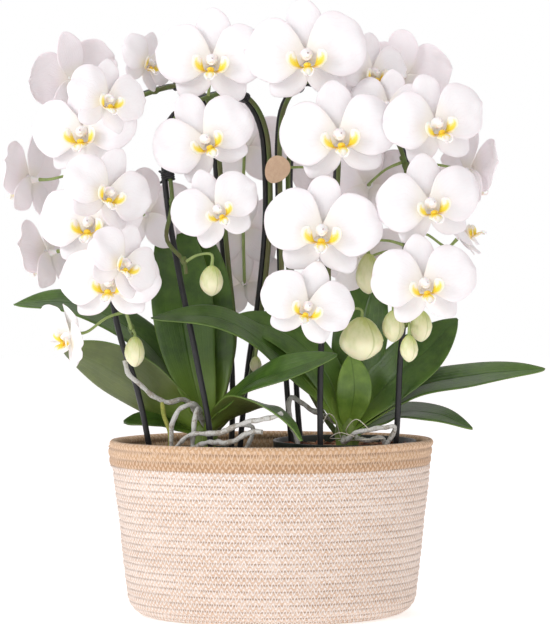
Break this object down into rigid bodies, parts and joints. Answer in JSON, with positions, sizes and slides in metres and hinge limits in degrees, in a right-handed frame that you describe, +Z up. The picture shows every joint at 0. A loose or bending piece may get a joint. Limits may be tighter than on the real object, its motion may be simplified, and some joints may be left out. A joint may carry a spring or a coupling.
{
  "type": "moth orchid in basket",
  "caption": "White moth orchids trained over black hoops in plastic pots, with broad leaves and buds, in an oval coiled-rope basket.",
  "frame": {"origin": "middle of the flat underside of the basket, on the surface that it stands on", "axes": "+Z up, +X to the right and -Y towards the front, where most blooms look"},
  "size_m": [0.4469, 0.2494, 0.5142],
  "materials": {
    "rope": "coiled and stitched cotton rope",
    "pot": "satin dark plastic",
    "bark": "rough bark chips",
    "crown": "living tissue, waxy",
    "leaf": "glossy thick leaf",
    "stem": "satin green stem",
    "hoop": "satin black rod",
    "card": "plain kraft card",
    "petal": "soft white petal"
  },
  "bodies": {
    "root": {"bark_left": "bark", "bark_right": "bark", "basket": "rope", "bloom_centreLeft_1": "petal", "bloom_centreLeft_2": "petal", "bloom_centreLeft_3": "petal", "bloom_centreRight_1": "petal", "bloom_centreRight_2": "petal", "bloom_centreRight_3": "petal", "bloom_centreRight_4": "petal", "bloom_centreRight_5": "petal", "bloom_left_1": "petal", "bloom_left_10": "petal", "bloom_left_11": "petal", "bloom_left_12": "petal", "bloom_left_2": "petal", "bloom_left_3": "petal", "bloom_left_4": "petal", "bloom_left_5": "petal", "bloom_left_6": "petal", "bloom_left_7": "petal", "bloom_left_8": "petal", "bloom_left_9": "petal", "bloom_right_1": "petal", "bloom_right_10": "petal", "bloom_right_2": "petal", "bloom_right_3": "petal", "bloom_right_4": "petal", "bloom_right_5": "petal", "bloom_right_6": "petal", "bloom_right_7": "petal", "bloom_right_8": "petal", "bloom_right_9": "petal", "bloom_spray_back": "petal", "crown_left": "crown", "crown_right": "crown", "hoop_centreLeft": "hoop", "hoop_centreRight": "hoop", "hoop_left": "hoop", "hoop_right": "hoop", "leaf_left_1": "leaf", "leaf_left_2": "leaf", "leaf_left_3": "leaf", "leaf_left_4": "leaf", "leaf_left_5": "leaf", "leaf_left_6": "leaf", "leaf_right_1": "leaf", "leaf_right_2": "leaf", "leaf_right_3": "leaf", "leaf_right_4": "leaf", "leaf_right_5": "leaf", "leaf_right_6": "leaf", "pot_left": "pot", "pot_right": "pot", "stem_centreLeft": "stem", "stem_centreRight": "stem", "stem_left": "stem", "stem_right": "stem", "tag": "card"}
  },
  "joints": []
}
